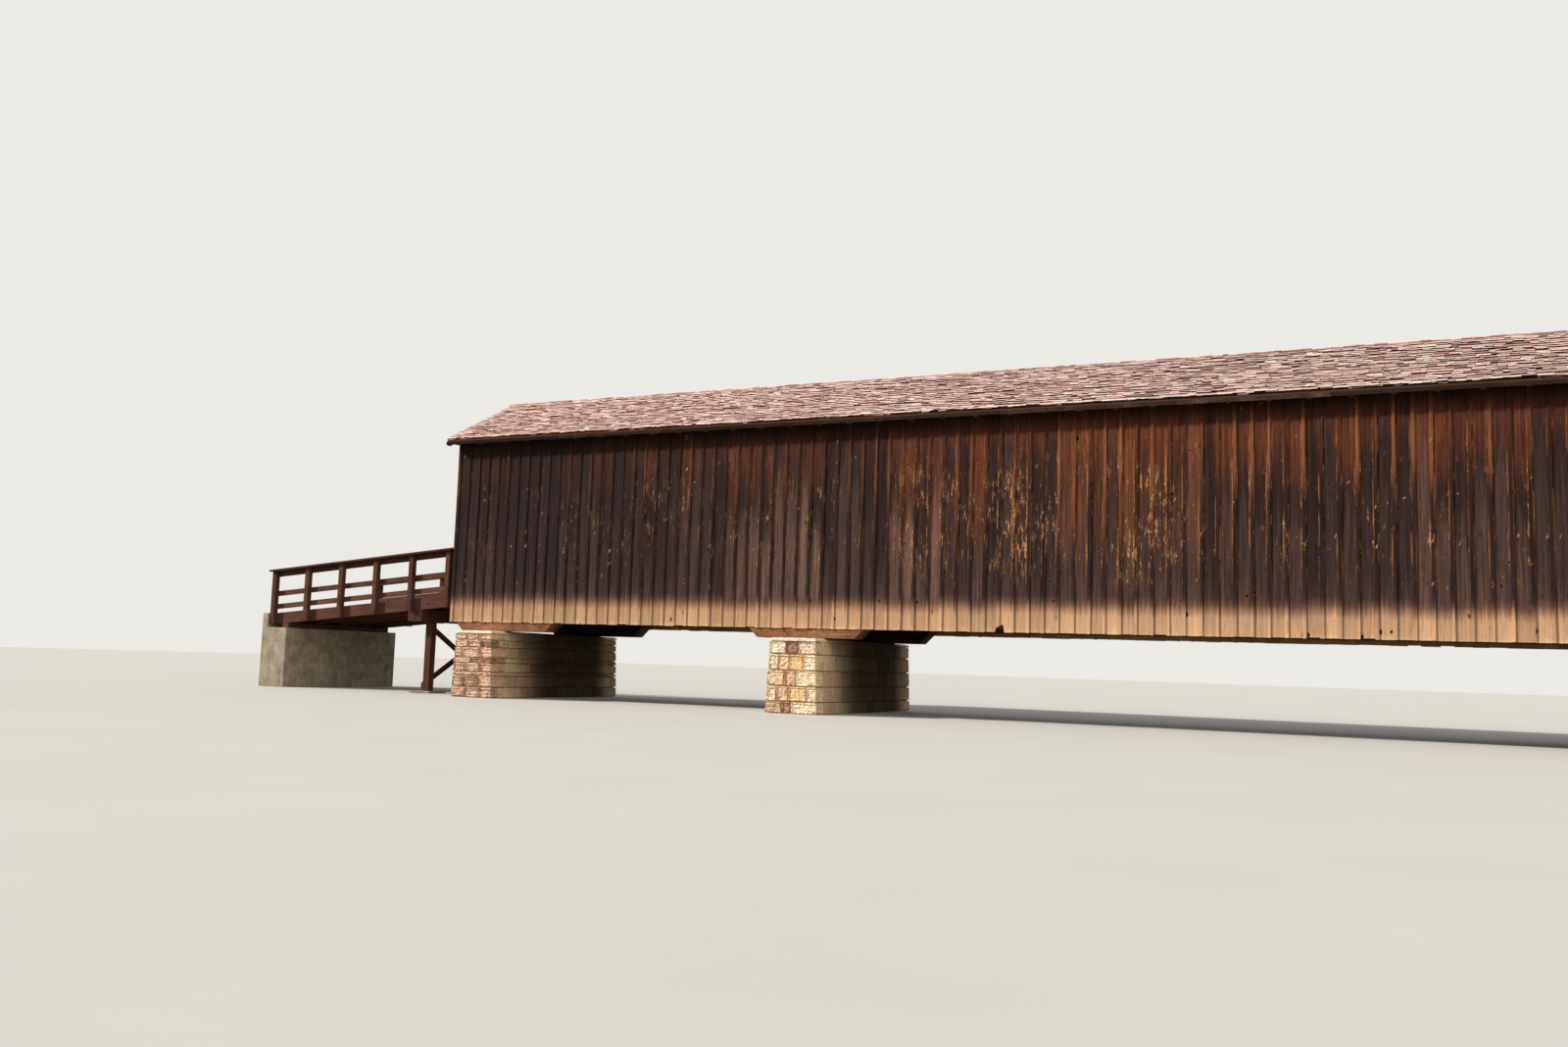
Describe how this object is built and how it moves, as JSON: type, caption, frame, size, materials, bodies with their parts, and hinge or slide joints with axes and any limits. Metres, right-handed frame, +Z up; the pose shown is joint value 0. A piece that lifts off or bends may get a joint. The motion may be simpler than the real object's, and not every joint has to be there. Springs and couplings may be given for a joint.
{
  "type": "covered timber bridge, 1:2 scale model",
  "caption": "Long covered timber bridge with board-and-batten sides and a shingled gable roof on stone piers, with a sloping railed timber ramp at each end.",
  "frame": {"origin": "centre of the bridge at the foot of the piers", "axes": "+X along the bridge, -Y the near side, +Z up"},
  "size_m": [24.75, 2.69, 3.849],
  "materials": {
    "pier_stone": "rock-faced sandstone",
    "bolster_timber": "weathered tan timber",
    "frame_timber": "rough-sawn timber, aged",
    "deck_timber": "worn planks",
    "siding_wood": "weathered vertical boards and battens",
    "roof_shingles": "split wood shingles, sun-bleached",
    "trim_wood": "brown boards",
    "ramp_timber": "reddish-brown stained timber",
    "concrete": "cast concrete, weathered",
    "shim_timber": "pale hardwood packing, weathered"
  },
  "bodies": {
    "root": {"pier_1": "pier_stone", "pier_2": "pier_stone", "pier_3": "pier_stone", "pier_4": "pier_stone", "bearing_shims": "shim_timber", "bolsters": "bolster_timber", "bottom_chords": "frame_timber", "top_chords": "frame_timber", "truss_posts": "frame_timber", "truss_braces": "frame_timber", "arches": "frame_timber", "floor_beams": "frame_timber", "tie_beams": "frame_timber", "knee_braces": "frame_timber", "rafters": "frame_timber", "ridge_beam": "frame_timber", "siding_nailers": "frame_timber", "bridge_deck": "deck_timber", "roof_near": "roof_shingles", "roof_far": "roof_shingles", "ridge_cap": "roof_shingles", "siding_near": "siding_wood", "siding_far": "siding_wood", "portal_left": "siding_wood", "portal_right": "siding_wood", "fascia_boards": "trim_wood", "rake_boards": "trim_wood", "ramp_beams": "ramp_timber", "ramp_decks": "ramp_timber", "railing_left_near": "ramp_timber", "railing_left_far": "ramp_timber", "railing_right_near": "ramp_timber", "railing_right_far": "ramp_timber", "bent_caps": "ramp_timber", "bent_posts": "ramp_timber", "bent_braces": "ramp_timber", "ramp_sills": "ramp_timber", "bent_footings": "concrete", "abutment_left": "concrete", "abutment_right": "concrete"}
  },
  "joints": []
}
